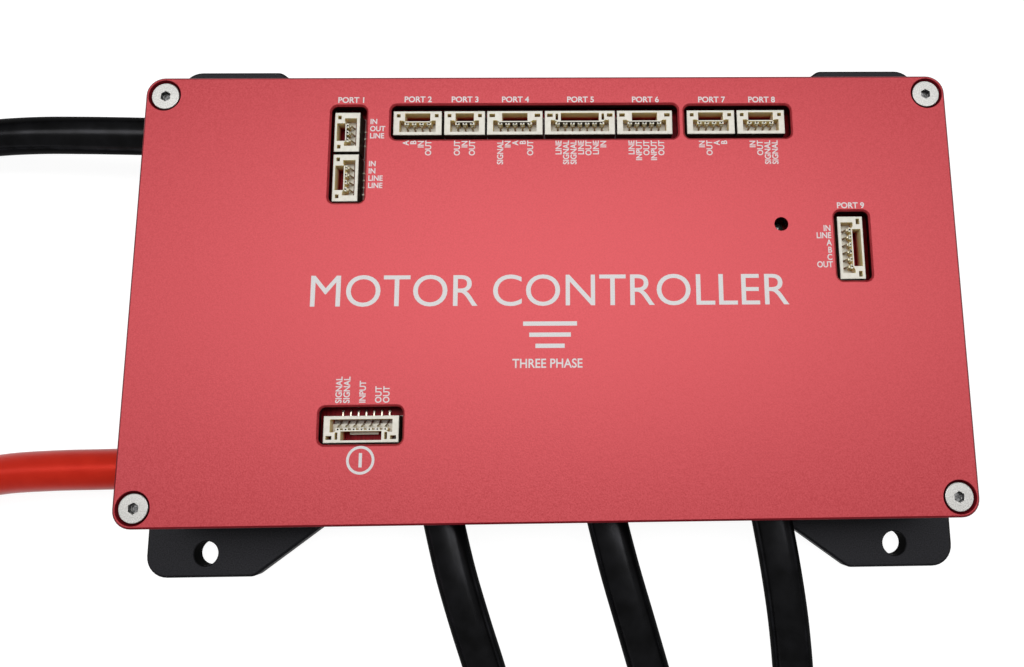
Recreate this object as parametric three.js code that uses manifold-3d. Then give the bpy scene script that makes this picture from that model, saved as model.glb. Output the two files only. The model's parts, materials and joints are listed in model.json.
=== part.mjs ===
// Electronic speed controller for a three-phase brushless motor.
// Millimetres. X runs along the case, Y from the phase-lead side to the signal-header side, +Z is up.
// The origin is under the middle of the case, on the surface that it stands on.

import * as THREE from 'three';
import { mergeVertices } from 'three/addons/utils/BufferGeometryUtils.js';
import Module from 'manifold-3d';

const wasm = await Module();
wasm.setup();

// ---------------------------------------------------------------- driving dimensions

// Case
const CASE_LENGTH = 135;
const CASE_DEPTH = 73.5;
const CASE_HEIGHT = 24;
const CASE_CORNER_RADIUS = 3;
const COVER_THICKNESS = 2;
const COVER_CHAMFER = 0.3;
const WALL_THICKNESS = 3;
const FLOOR_THICKNESS = 4;
const CAVITY_CORNER_RADIUS = 2;
const COVER_UNDERSIDE = CASE_HEIGHT - COVER_THICKNESS;

// Foot flange with four bolt-down ears
const FLANGE_LENGTH = 139.7;
const FLANGE_CHAMFER = 0.4;
const EAR_REACH = 45.95;
const EAR_ROOT_X = 38.7;
const EAR_ROOT_RADIUS = 1;
const EAR_TIP_X = 51.3;
const EAR_TIP_RADIUS = 2;
const EAR_CORNER_RADIUS = 3.7;
const EAR_HOLE_X = 59.7;
const EAR_HOLE_Y = 42;
const EAR_HOLE_DIAMETER = 4.1;
const EAR_HOLE_MOUTH = 4.4;

// Cover screws, M2.5 x 5 countersunk
const COVER_SCREW_INSET = 3.15;
const COVER_SCREW_HEAD = 4.65;
const COVER_SCREW_LENGTH = 5;
const COVER_SCREW_RECESS = 0.3;
const COUNTERSINK_DIAMETER = 5.35;
const HEX_SOCKET_ACROSS_FLATS = 1.5;
const SCREW_SHANK_DIAMETER = 2.4;
const SCREW_HOLE_DIAMETER = 2.9;
const CORNER_POST_RADIUS = 3.6;

// Boards
const BOARD_THICKNESS = 1.6;
const BOARD_EDGE_GAP = 1;
const BOARD_NOTCH = 4.5;
const PAD_THICKNESS = 1;
const POWER_BOARD_BOTTOM = FLOOR_THICKNESS + PAD_THICKNESS;
const POWER_BOARD_TOP = POWER_BOARD_BOTTOM + BOARD_THICKNESS;

// Signal headers, 1.25 mm pitch
const HEADER_PITCH = 1.25;
const HEADER_END_WIDTH = 4.35;
const HEADER_DEPTH = 4.2;
const HEADER_HEIGHT = 4.05;
const HEADER_POCKET_DEPTH = 2.25;
const HEADER_TOOTH_WIDTH = 0.72;
const HEADER_RECESS = 0.8;
const LOGIC_BOARD_TOP = CASE_HEIGHT - HEADER_RECESS - HEADER_HEIGHT;
const LOGIC_BOARD_BOTTOM = LOGIC_BOARD_TOP - BOARD_THICKNESS;
const LATCH_WIDTH_BY_PINS = { 3: 3.1, 4: 4.25, 5: 4.3, 6: 6.3, 7: 6.45 };

// Board hardware
const STANDOFF_ACROSS_FLATS = 5;
const STANDOFF_STUD_LENGTH = 4.5;
const BOARD_HOLE_DIAMETER = 3.2;
const BOARD_SCREW_HEAD = 4.5;
const BOARD_SCREW_HEAD_HEIGHT = 1.6;
const BOARD_SCREW_LENGTH = 5;

// Leads
const LEAD_DIAMETER = 6.6;
const LEAD_BORE_DIAMETER = 7;
const LEAD_SIDES = 10;
const LEAD_STEP = 14;
const TINNED_END_DIAMETER = 4.4;
const TINNED_END_LENGTH = 9;
const GROMMET_DIAMETER = 9;
const GROMMET_PROTRUSION = 0.2;
const WALL_BORE_DIAMETER = 9.4;
const LEAD_BORE_DEPTH = 8; // through the wall and past the corner post behind it
const TOUCH_GAP = 0.3;

// Power parts
const TRANSISTOR = { width: 10, depth: 11.6, height: 2.3 };
const CAPACITOR_DIAMETER = 10;
const CAPACITOR_HEIGHT = 10.2;
const CAPACITOR_BASE = 10.3;
const TERMINAL = { width: 7.4, depth: 8, height: 10.4, bore: 4.8, boreDepth: 6 };

// ---------------------------------------------------------------- places

const coverScrewX = CASE_LENGTH / 2 - COVER_SCREW_INSET;
const coverScrewY = CASE_DEPTH / 2 - COVER_SCREW_INSET;
const cavityHalfLength = CASE_LENGTH / 2 - WALL_THICKNESS;
const cavityHalfDepth = CASE_DEPTH / 2 - WALL_THICKNESS;

const CORNERS = {
  back_left: [-1, 1],
  back_right: [1, 1],
  front_left: [-1, -1],
  front_right: [1, -1],
};

const STANDOFFS = {
  back_left: [-54, 20],
  back_right: [58, 20],
  front_left: [-44, -25],
  front_right: [58, -25],
};

// Cut-outs in the cover: middle x and y, width and depth
const WINDOWS = [
  { x: -33.56, y: 23.25, width: 5.85, depth: 16.7 },
  { x: -2.47, y: 28.76, width: 48.2, depth: 6 },
  { x: 31.79, y: 28.69, width: 18.05, depth: 5.8 },
  { x: 50.05, y: 7.05, width: 5.75, depth: 11.7 },
  { x: -29.87, y: -21.37, width: 13.15, depth: 5.85 },
];
const WINDOW_CORNER_RADIUS = 1;

const INDICATOR = { x: 38.3, y: 10.77, hole: 2.3, lens: 1.6, height: 1.8 };

// Headers: middle x and y, pin count, and the turn that puts the latch side away from +Y
const HEADER_ROW_Y = 28.85;
const HEADERS = [
  { name: 'aux_upper', pins: 3, x: -33.95, y: 27.32, turn: 90 },
  { name: 'aux_lower', pins: 4, x: -33.95, y: 19.35, turn: 90 },
  { name: 'power_button', pins: 4, x: -22.22, y: HEADER_ROW_Y, turn: 0 },
  { name: 'servo', pins: 3, x: -14.32, y: HEADER_ROW_Y, turn: 0 },
  { name: 'can_bus', pins: 5, x: -5.87, y: HEADER_ROW_Y, turn: 0 },
  { name: 'serial', pins: 7, x: 5.12, y: HEADER_ROW_Y, turn: 0 },
  { name: 'debug', pins: 5, x: 16.09, y: HEADER_ROW_Y, turn: 0 },
  { name: 'data', pins: 4, x: 27.33, y: HEADER_ROW_Y, turn: 0 },
  { name: 'radio', pins: 4, x: 35.86, y: HEADER_ROW_Y, turn: 0 },
  { name: 'rotor_sensor', pins: 6, x: 49.95, y: 6.86, turn: -90 },
  { name: 'ignition', pins: 7, x: -29.92, y: -21.92, turn: 180 },
];

// Lead routes, from the terminal, through the wall, down to the surface and along it
const LEADS = {
  battery_negative: {
    colour: 'black',
    wall: 'left',
    route: [
      [-58, 29.7, 14], [-66, 29.7, 14], [-74, 29.9, 14], [-82, 30.2, 13.6], [-91, 30.7, 12.2],
      [-100, 31, 10], [-108, 30.8, 7.6], [-116, 29.4, 5.4], [-123.5, 26, 4], [-130, 20.5, 3.4],
      [-134.5, 13, 3.4], [-136.6, 4.5, 3.4], [-137, -5, 3.4], [-137, -15, 3.4], [-137, -25, 3.4],
      [-137, -35, 3.4], [-137, -45, 3.4], [-137, -56, 3.4],
    ],
  },
  battery_positive: {
    colour: 'red',
    wall: 'left',
    route: [
      [-58, -27.5, 14], [-66, -27.5, 14], [-74, -27.6, 14], [-82, -27.7, 13.6], [-91, -28.2, 12.2],
      [-100, -29.8, 10], [-108, -33.4, 7.6], [-114.6, -39.4, 5.4], [-119.4, -47, 4], [-122, -55.5, 3.4],
      [-123, -65, 3.4], [-123, -75, 3.4], [-123, -85, 3.4], [-123, -95, 3.4], [-123, -105, 3.4],
      [-123, -115, 3.4], [-123, -125.5, 3.4],
    ],
  },
  phase_a: {
    colour: 'black',
    wall: 'front',
    route: [
      [-19.4, -29.7, 14], [-17.6, -37.5, 14], [-15.7, -45, 13.8], [-13.3, -53, 12.9], [-10.8, -61, 11.3],
      [-8.7, -69, 9.3], [-8.1, -77.5, 7.1], [-9.9, -86, 5.1], [-14.5, -93.5, 3.8], [-21.3, -99.2, 3.4],
      [-29.5, -102.2, 3.4], [-39, -103, 3.4], [-49, -103, 3.4], [-59, -103, 3.4], [-69, -103, 3.4],
      [-79, -103, 3.4], [-89, -103, 3.4], [-100, -103, 3.4],
    ],
  },
  phase_b: {
    colour: 'black',
    wall: 'front',
    route: [
      [7.4, -29.7, 14], [9.2, -37.5, 14], [11.1, -45, 13.8], [13.4, -53, 12.9], [15.7, -61, 11.3],
      [18, -69, 9.3], [20.1, -77.5, 7.1], [20.9, -86.5, 5.1], [19, -95, 3.8], [14.4, -102.5, 3.4],
      [7.5, -108.2, 3.4], [-1, -111.2, 3.4], [-10.5, -112, 3.4], [-20.5, -112, 3.4], [-30.5, -112, 3.4],
      [-40.5, -112, 3.4], [-50.5, -112, 3.4], [-62, -112, 3.4],
    ],
  },
  phase_c: {
    colour: 'black',
    wall: 'front',
    route: [
      [35.1, -29.7, 14], [36.4, -37.5, 14], [37.5, -45, 13.8], [38.5, -53, 12.9], [39.2, -61, 11.3],
      [39.8, -70, 9.1], [40.2, -79, 6.8], [40.2, -88, 4.8], [39.6, -96.5, 3.7], [36.9, -105, 3.4],
      [31.7, -112.3, 3.4], [24.4, -117.8, 3.4], [15.8, -120.7, 3.4], [6.5, -121.4, 3.4], [-3.5, -121.4, 3.4],
      [-13.5, -121.4, 3.4], [-23.5, -121.4, 3.4], [-34, -121.4, 3.4],
    ],
  },
};

const TRANSISTOR_Y = { high_side: -1.5, low_side: -14.5 };
const TRANSISTOR_X_BY_PHASE = { a: -18, b: 9, c: 36 };
const CAPACITOR_PLACES = [[-38, 7], [-38, -5], [-26, 14], [-14, 14]];
const BOARD_LINK = { x: 14, y: 14, width: 22, depth: 5 };

// ---------------------------------------------------------------- materials

function material(colour, roughness, metalness) {
  return new THREE.MeshStandardMaterial({ color: colour, roughness, metalness });
}

const MATERIALS = {
  redAnodised: material('#d8505e', 0.42, 0.6),
  blackAnodised: material('#242527', 0.45, 0.5),
  stainless: material('#c8c8c4', 0.28, 1),
  brass: material('#c9a455', 0.3, 1),
  tinnedCopper: material('#b9bab6', 0.35, 1),
  headerPlastic: material('#ebe8d7', 0.5, 0),
  redBoard: material('#6b0d16', 0.4, 0),
  thermalPad: material('#8d97a3', 0.9, 0),
  transistorEpoxy: material('#1b1b1c', 0.5, 0),
  capacitorCan: material('#b6b9bd', 0.3, 1),
  blackPlastic: material('#161617', 0.5, 0),
  clearLens: material('#d9dcd8', 0.1, 0),
  blackRubber: material('#101112', 0.55, 0),
  redRubber: material('#bd2014', 0.45, 0),
};

// ---------------------------------------------------------------- solids and helpers

// A three.js geometry as a manifold solid: only positions, shared vertices merged, no flat triangles
function toSolid(geometry) {
  const bare = geometry.clone();
  bare.deleteAttribute('normal');
  bare.deleteAttribute('uv');
  const merged = mergeVertices(bare, 1e-4);
  const corners = merged.index.array;
  const kept = [];
  for (let i = 0; i < corners.length; i += 3) {
    const [a, b, c] = corners.slice(i, i + 3);
    if (a !== b && b !== c && c !== a) kept.push(a, b, c);
  }
  const mesh = new wasm.Mesh({
    numProp: 3,
    vertProperties: merged.attributes.position.array,
    triVerts: new Uint32Array(kept),
  });
  return new wasm.Manifold(mesh);
}

function toGeometry(solid) {
  const mesh = solid.getMesh();
  const geometry = new THREE.BufferGeometry();
  geometry.setAttribute('position', new THREE.BufferAttribute(mesh.vertProperties, 3));
  geometry.setIndex(new THREE.BufferAttribute(mesh.triVerts, 1));
  geometry.computeVertexNormals();
  return geometry;
}

function subtractAll(solid, cutters) {
  return cutters.reduce((rest, cutter) => rest.subtract(cutter), solid);
}

function addAll(solid, pieces) {
  return pieces.reduce((whole, piece) => whole.add(piece), solid);
}

// A closed outline with its corners rounded by arcs. Each corner is [x, y, radius].
function roundedOutline(corners) {
  const outline = new THREE.Shape();
  corners.forEach(([x, y, radius], i) => {
    const corner = new THREE.Vector2(x, y);
    const [beforeX, beforeY] = corners[(i + corners.length - 1) % corners.length];
    const [afterX, afterY] = corners[(i + 1) % corners.length];
    const back = new THREE.Vector2(beforeX, beforeY).sub(corner).normalize();
    const ahead = new THREE.Vector2(afterX, afterY).sub(corner).normalize();
    if (radius === 0) {
      if (i === 0) outline.moveTo(x, y);
      else outline.lineTo(x, y);
      return;
    }
    const halfAngle = Math.acos(THREE.MathUtils.clamp(back.dot(ahead), -1, 1)) / 2;
    const reach = radius / Math.tan(halfAngle);
    const start = corner.clone().addScaledVector(back, reach);
    const end = corner.clone().addScaledVector(ahead, reach);
    const centre = back.clone().add(ahead).setLength(radius / Math.sin(halfAngle)).add(corner);
    const turnsRight = back.cross(ahead) > 0;
    outline.absarc(
      centre.x, centre.y, radius,
      Math.atan2(start.y - centre.y, start.x - centre.x),
      Math.atan2(end.y - centre.y, end.x - centre.x),
      turnsRight,
    );
  });
  return outline;
}

// Corners of a rectangle, anticlockwise
function rectangle(x, y, width, depth, radius = 0) {
  const [left, right] = [x - width / 2, x + width / 2];
  const [front, back] = [y - depth / 2, y + depth / 2];
  return [[left, front, radius], [right, front, radius], [right, back, radius], [left, back, radius]];
}

// An outline made solid from height bottom to height top, with chamfered edges
function plate(corners, bottom, top, { holes = [], chamfer = 0, arcSteps = 4 } = {}) {
  const outline = roundedOutline(corners);
  outline.holes = holes.map((hole) => roundedOutline(hole));
  const geometry = new THREE.ExtrudeGeometry(outline, {
    depth: top - bottom - 2 * chamfer,
    curveSegments: arcSteps,
    bevelEnabled: chamfer > 0,
    bevelSegments: 1,
    bevelThickness: chamfer,
    bevelSize: chamfer,
    bevelOffset: -chamfer,
  });
  geometry.translate(0, 0, bottom + chamfer);
  return toSolid(geometry);
}

function block(x, y, width, depth, bottom, top) {
  return plate(rectangle(x, y, width, depth), bottom, top);
}

// A profile of [radius, height] points turned about the Z axis, then moved to x, y
function turned(profile, x, y, segments = 32) {
  const points = profile.map(([radius, height]) => new THREE.Vector2(radius, height));
  const geometry = new THREE.LatheGeometry(points, segments);
  geometry.rotateX(Math.PI / 2);
  geometry.translate(x, y, 0);
  return toSolid(geometry);
}

// A round or many-sided rod between two points
function rod(diameter, from, to, sides = 32) {
  const start = new THREE.Vector3(...from);
  const end = new THREE.Vector3(...to);
  const axis = end.clone().sub(start);
  const geometry = new THREE.CylinderGeometry(diameter / 2, diameter / 2, axis.length(), sides);
  geometry.applyQuaternion(
    new THREE.Quaternion().setFromUnitVectors(new THREE.Vector3(0, 1, 0), axis.normalize()),
  );
  const middle = start.add(end).multiplyScalar(0.5);
  geometry.translate(middle.x, middle.y, middle.z);
  return toSolid(geometry);
}

function upright(diameter, x, y, bottom, top, sides = 32) {
  return rod(diameter, [x, y, bottom], [x, y, top], sides);
}

// A cutter for a hole through a plate, with a 45 degree cone that opens to its mouth below a lip
function conedHole(bore, mouth, x, y, bottom, top, lip = 0) {
  const margin = 0.5;
  return turned(
    [
      [0, bottom - margin],
      [bore / 2, bottom - margin],
      [bore / 2, top - lip - (mouth - bore) / 2],
      [mouth / 2, top - lip],
      [mouth / 2, top + margin],
      [0, top + margin],
    ],
    x,
    y,
  );
}

function acrossCorners(acrossFlats) {
  return acrossFlats / Math.cos(Math.PI / 6);
}

const controller = new THREE.Group();

function addPart(name, solid, finish) {
  const mesh = new THREE.Mesh(toGeometry(solid), finish);
  mesh.name = name;
  controller.add(mesh);
  return mesh;
}

// ---------------------------------------------------------------- case

function topCover() {
  const windows = WINDOWS.map(({ x, y, width, depth }) => (
    rectangle(x, y, width, depth, WINDOW_CORNER_RADIUS)
  ));
  const sheet = plate(
    rectangle(0, 0, CASE_LENGTH, CASE_DEPTH, CASE_CORNER_RADIUS),
    COVER_UNDERSIDE,
    CASE_HEIGHT,
    { holes: windows, chamfer: COVER_CHAMFER },
  );
  const countersinks = Object.values(CORNERS).map(([sideX, sideY]) => conedHole(
    SCREW_HOLE_DIAMETER, COUNTERSINK_DIAMETER,
    sideX * coverScrewX, sideY * coverScrewY, COVER_UNDERSIDE, CASE_HEIGHT, COVER_SCREW_RECESS,
  ));
  const indicatorHole = upright(
    INDICATOR.hole, INDICATOR.x, INDICATOR.y, COVER_UNDERSIDE - 1, CASE_HEIGHT + 1, 24,
  );
  return subtractAll(sheet, [...countersinks, indicatorHole]);
}

// Foot flange outline: ears at the four corners, straight sides between them
function flangeOutline() {
  const halfLength = FLANGE_LENGTH / 2;
  const halfDepth = CASE_DEPTH / 2;
  const frontRight = [
    [EAR_ROOT_X, -halfDepth, EAR_ROOT_RADIUS],
    [EAR_TIP_X, -EAR_REACH, EAR_TIP_RADIUS],
    [halfLength, -EAR_REACH, EAR_CORNER_RADIUS],
  ];
  const flipX = ([x, y, radius]) => [-x, y, radius];
  const flipY = ([x, y, radius]) => [x, -y, radius];
  const right = [...frontRight, ...frontRight.map(flipY).reverse()];
  return [...right, ...right.map(flipX).reverse()];
}

function baseHousing() {
  const flange = plate(flangeOutline(), 0, FLOOR_THICKNESS, { chamfer: FLANGE_CHAMFER });
  const overlap = 1;
  const body = plate(
    rectangle(0, 0, CASE_LENGTH, CASE_DEPTH, CASE_CORNER_RADIUS),
    FLOOR_THICKNESS - overlap,
    COVER_UNDERSIDE,
  );
  const cavity = plate(
    rectangle(0, 0, 2 * cavityHalfLength, 2 * cavityHalfDepth, CAVITY_CORNER_RADIUS),
    FLOOR_THICKNESS,
    COVER_UNDERSIDE + overlap,
  );
  const posts = Object.values(CORNERS).map(([sideX, sideY]) => upright(
    2 * CORNER_POST_RADIUS, sideX * coverScrewX, sideY * coverScrewY,
    FLOOR_THICKNESS - overlap, COVER_UNDERSIDE,
  ).intersect(body));
  const tapDepth = 1;
  const screwHoles = Object.values(CORNERS).map(([sideX, sideY]) => upright(
    SCREW_HOLE_DIAMETER, sideX * coverScrewX, sideY * coverScrewY,
    CASE_HEIGHT - COVER_SCREW_LENGTH - tapDepth / 2, COVER_UNDERSIDE + overlap, 24,
  ));
  const earHoles = Object.values(CORNERS).map(([sideX, sideY]) => conedHole(
    EAR_HOLE_DIAMETER, EAR_HOLE_MOUTH, sideX * EAR_HOLE_X, sideY * EAR_HOLE_Y, 0, FLOOR_THICKNESS,
  ));
  const studHoles = Object.values(STANDOFFS).map(([x, y]) => upright(
    SCREW_HOLE_DIAMETER, x, y, FLOOR_THICKNESS - 3, FLOOR_THICKNESS + overlap, 24,
  ));
  const leadHoles = Object.values(LEADS).map((lead) => {
    const { through, outward } = wallCrossing(lead);
    const inner = through.clone().addScaledVector(outward, -LEAD_BORE_DEPTH);
    const outer = through.clone().addScaledVector(outward, overlap);
    return rod(WALL_BORE_DIAMETER, inner.toArray(), outer.toArray());
  });
  const hollow = addAll(addAll(flange, [body]).subtract(cavity), posts);
  return subtractAll(hollow, [...screwHoles, ...earHoles, ...studHoles, ...leadHoles]);
}

// An M2.5 countersunk screw with a hexagon socket
function coverScrew(x, y) {
  const headTop = CASE_HEIGHT - COVER_SCREW_RECESS;
  const tip = CASE_HEIGHT - COVER_SCREW_LENGTH;
  const rim = 0.15;
  const coneHeight = (COVER_SCREW_HEAD - SCREW_SHANK_DIAMETER) / 2;
  const tipChamfer = 0.3;
  const body = turned(
    [
      [0, tip],
      [SCREW_SHANK_DIAMETER / 2 - tipChamfer, tip],
      [SCREW_SHANK_DIAMETER / 2, tip + tipChamfer],
      [SCREW_SHANK_DIAMETER / 2, headTop - rim - coneHeight],
      [COVER_SCREW_HEAD / 2, headTop - rim],
      [COVER_SCREW_HEAD / 2 - rim / 2, headTop],
      [0, headTop],
    ],
    x,
    y,
  );
  const socketDepth = 1.1;
  const socket = upright(
    acrossCorners(HEX_SOCKET_ACROSS_FLATS), x, y, headTop - socketDepth, headTop + 1, 6,
  );
  return body.subtract(socket);
}

// ---------------------------------------------------------------- boards

// A board outline inside the case, notched round the corner posts
function boardOutline() {
  const halfLength = cavityHalfLength - BOARD_EDGE_GAP;
  const halfDepth = cavityHalfDepth - BOARD_EDGE_GAP;
  const quarter = [
    [halfLength - BOARD_NOTCH, -halfDepth, 0.5],
    [halfLength - BOARD_NOTCH, -halfDepth + BOARD_NOTCH, 0.5],
    [halfLength, -halfDepth + BOARD_NOTCH, 0.5],
  ];
  const right = [...quarter, ...quarter.map(([x, y, r]) => [x, -y, r]).reverse()];
  return [...right, ...right.map(([x, y, r]) => [-x, y, r]).reverse()];
}

function board(bottom, top) {
  const holes = Object.values(STANDOFFS).map(([x, y]) => (
    upright(BOARD_HOLE_DIAMETER, x, y, bottom - 1, top + 1, 24)
  ));
  return subtractAll(plate(boardOutline(), bottom, top, { arcSteps: 2 }), holes);
}

// The pad covers the floor under the transistors and stops short of the studs
function thermalPad() {
  const pad = { x: 8, y: -6, width: 92, depth: 34 };
  return block(pad.x, pad.y, pad.width, pad.depth, FLOOR_THICKNESS, POWER_BOARD_BOTTOM);
}

// A hexagon standoff with a stud below and a tapped hole above
function standoff(x, y) {
  const body = upright(
    acrossCorners(STANDOFF_ACROSS_FLATS), x, y, POWER_BOARD_TOP, LOGIC_BOARD_BOTTOM, 6,
  );
  const studOverlap = 0.5;
  const stud = upright(
    SCREW_SHANK_DIAMETER, x, y,
    POWER_BOARD_TOP - STANDOFF_STUD_LENGTH, POWER_BOARD_TOP + studOverlap, 24,
  );
  const bore = upright(
    SCREW_HOLE_DIAMETER, x, y, LOGIC_BOARD_BOTTOM - BOARD_SCREW_LENGTH, LOGIC_BOARD_BOTTOM + 1, 24,
  );
  return body.add(stud).subtract(bore);
}

// A pan-head screw that holds the logic board on its standoff
function boardScrew(x, y) {
  const headTop = LOGIC_BOARD_TOP + BOARD_SCREW_HEAD_HEIGHT;
  const headEdge = 0.5;
  const body = turned(
    [
      [0, LOGIC_BOARD_TOP - BOARD_SCREW_LENGTH],
      [SCREW_SHANK_DIAMETER / 2, LOGIC_BOARD_TOP - BOARD_SCREW_LENGTH],
      [SCREW_SHANK_DIAMETER / 2, LOGIC_BOARD_TOP],
      [BOARD_SCREW_HEAD / 2, LOGIC_BOARD_TOP],
      [BOARD_SCREW_HEAD / 2, headTop - headEdge],
      [BOARD_SCREW_HEAD / 2 - headEdge, headTop],
      [0, headTop],
    ],
    x,
    y,
    24,
  );
  const socket = upright(acrossCorners(2), x, y, headTop - 1, headTop + 1, 6);
  return body.subtract(socket);
}

// ---------------------------------------------------------------- signal headers

// The open pocket for the plug: wide at its two ends, where it steps back beside the latch window
function pocketOutline(halfWidth) {
  const front = -1.58;
  const back = 0.12;
  const endBack = 0.45;
  const [bayInside, slopeInside] = [halfWidth - 0.6, halfWidth - 1.15];
  return [
    [-halfWidth, front, 0], [halfWidth, front, 0], [halfWidth, endBack, 0], [bayInside, endBack, 0],
    [slopeInside, back, 0], [-slopeInside, back, 0], [-bayInside, endBack, 0], [-halfWidth, endBack, 0],
  ];
}

// One top-entry header, seen with its latch window on the +Y side, standing on height 0
function headerBody(pins) {
  const width = HEADER_PITCH * (pins - 1) + HEADER_END_WIDTH;
  const latchWidth = LATCH_WIDTH_BY_PINS[pins];
  const endWall = 1;
  const pocketFloor = HEADER_HEIGHT - HEADER_POCKET_DEPTH;
  const above = HEADER_HEIGHT + 1;
  const shell = plate(rectangle(0, 0, width, HEADER_DEPTH), 0, HEADER_HEIGHT, { chamfer: 0.08 });
  const pocket = plate(pocketOutline(width / 2 - endWall), pocketFloor, above);
  const gutter = block(0, -1.26, width - 2 * endWall, 0.64, 0.7, above);
  const latchWindow = block(0, 1.01, latchWidth, 1.42, -1, above);
  const ledge = block(0, 0.45, latchWidth - 1.9, 0.6, 0.2, 1.4);
  const cornerHoleWidth = pins < 5 ? 0.65 : 0.95;
  const cornerHoles = [-1, 1].map((side) => (
    block(side * (width / 2 - 0.86), 1.3, cornerHoleWidth, 0.6, 0.6, above)
  ));
  const sideSlots = pins < 7 ? [] : [-1, 1].map((side) => (
    block(side * (latchWidth / 2 + 0.67), 1.03, 0.44, 1.12, 0.6, above)
  ));
  const contactPlaces = Array.from({ length: pins }, (_, i) => (i - (pins - 1) / 2) * HEADER_PITCH);
  const teeth = contactPlaces.map((x) => (
    block(x, 0.01, HEADER_TOOTH_WIDTH, 0.42, pocketFloor - 0.2, HEADER_HEIGHT - 0.35)
  ));
  const contactPits = contactPlaces.map((x) => block(x, 0, 0.26, 0.22, HEADER_HEIGHT - 1.6, above));
  const hollow = subtractAll(shell, [pocket, gutter, latchWindow]);
  const toothed = addAll(hollow, [ledge, ...teeth]);
  return subtractAll(toothed, [...contactPits, ...cornerHoles, ...sideSlots]);
}

function addHeader({ name, pins, x, y, turn }) {
  const mesh = addPart(`header_${name}`, headerBody(pins), MATERIALS.headerPlastic);
  mesh.position.set(x, y, LOGIC_BOARD_TOP);
  mesh.rotation.z = THREE.MathUtils.degToRad(turn);
}

// ---------------------------------------------------------------- power parts

// A soldered-down transistor package: moulded body on a wide tab
function transistor(x, y) {
  const { width, depth, height } = TRANSISTOR;
  const tabThickness = 0.5;
  const body = plate(
    rectangle(x, y - 0.6, width, depth - 1.2),
    POWER_BOARD_TOP,
    POWER_BOARD_TOP + height,
    { chamfer: 0.25 },
  );
  const tab = block(x, y, width - 0.8, depth, POWER_BOARD_TOP, POWER_BOARD_TOP + tabThickness);
  return body.add(tab);
}

// A surface-mount can with its square base and the crimp above it
function capacitor(x, y) {
  const base = POWER_BOARD_TOP;
  const plinth = plate(
    rectangle(x, y, CAPACITOR_BASE, CAPACITOR_BASE, 1), base, base + 1.2, { arcSteps: 2 },
  );
  const radius = CAPACITOR_DIAMETER / 2;
  const top = base + CAPACITOR_HEIGHT;
  const can = turned(
    [
      [0, base + 0.6],
      [radius, base + 0.6],
      [radius, base + 2.2],
      [radius - 0.4, base + 2.6],
      [radius, base + 3],
      [radius, top - 0.4],
      [radius - 0.4, top],
      [0, top],
    ],
    x,
    y,
    32,
  );
  return plinth.add(can);
}

// A solder terminal: a block with a blind bore that faces its lead
function terminal(lead) {
  const { inside, direction, outward } = wallCrossing(lead);
  const { width, depth, height, bore, boreDepth } = TERMINAL;
  const alongX = Math.abs(outward.x) > 0.5;
  const leanOfLeadEnd = (LEAD_DIAMETER / 2) * Math.sin(direction.angleTo(outward));
  const face = inside.clone().addScaledVector(outward, -TOUCH_GAP - leanOfLeadEnd);
  const middle = face.clone().addScaledVector(outward, -depth / 2);
  const body = plate(
    rectangle(middle.x, middle.y, alongX ? depth : width, alongX ? width : depth),
    POWER_BOARD_TOP,
    POWER_BOARD_TOP + height,
    { chamfer: 0.3 },
  );
  const boreEnd = face.clone().addScaledVector(outward, -boreDepth);
  const boreMouth = face.clone().addScaledVector(outward, 1);
  return body.subtract(rod(bore, boreEnd.toArray(), boreMouth.toArray(), 24));
}

// The stacking connector between the two boards
function boardLink() {
  const { x, y, width, depth } = BOARD_LINK;
  return plate(rectangle(x, y, width, depth), POWER_BOARD_TOP, LOGIC_BOARD_BOTTOM, { chamfer: 0.2 });
}

// The lamp that stands on the logic board under the hole in the cover
function indicatorLens() {
  const radius = INDICATOR.lens / 2;
  const rim = 0.4;
  const rimTop = LOGIC_BOARD_TOP + 0.6;
  const top = LOGIC_BOARD_TOP + INDICATOR.height;
  return turned(
    [
      [0, LOGIC_BOARD_TOP],
      [radius + rim, LOGIC_BOARD_TOP],
      [radius + rim, rimTop],
      [radius, rimTop],
      [radius, top - 0.6],
      [radius * 0.75, top - 0.2],
      [radius * 0.35, top],
      [0, top],
    ],
    INDICATOR.x,
    INDICATOR.y,
    24,
  );
}

// ---------------------------------------------------------------- leads

// Where a lead's route starts inside the case and where it passes the outside of its wall
function wallCrossing({ wall, route }) {
  const [inside, outside] = route.map((point) => new THREE.Vector3(...point));
  const direction = outside.clone().sub(inside).normalize();
  const outward = wall === 'left' ? new THREE.Vector3(-1, 0, 0) : new THREE.Vector3(0, -1, 0);
  const wallDistance = wall === 'left' ? CASE_LENGTH / 2 : CASE_DEPTH / 2;
  const travel = (wallDistance - inside.dot(outward)) / direction.dot(outward);
  const through = inside.clone().addScaledVector(direction, travel);
  return { inside, through, direction, outward };
}

// A rubber bush in the wall, bored along the lead
function grommet(lead) {
  const { through, direction, outward } = wallCrossing(lead);
  const along = (distance) => through.clone().addScaledVector(outward, distance).toArray();
  const bush = rod(GROMMET_DIAMETER, along(-WALL_THICKNESS), along(GROMMET_PROTRUSION));
  const boreStart = through.clone().addScaledVector(direction, -6).toArray();
  const boreEnd = through.clone().addScaledVector(direction, 4).toArray();
  return bush.subtract(rod(LEAD_BORE_DIAMETER, boreStart, boreEnd));
}

function polygonOutline(diameter, sides) {
  const outline = new THREE.Shape();
  for (let i = 0; i < sides; i += 1) {
    const angle = (2 * Math.PI * i) / sides;
    const point = [Math.cos(angle), Math.sin(angle)].map((value) => (value * diameter) / 2);
    if (i === 0) outline.moveTo(...point);
    else outline.lineTo(...point);
  }
  return outline;
}

function leadCurve(route) {
  return new THREE.CatmullRomCurve3(route.map((point) => new THREE.Vector3(...point)), false, 'centripetal');
}

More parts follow.
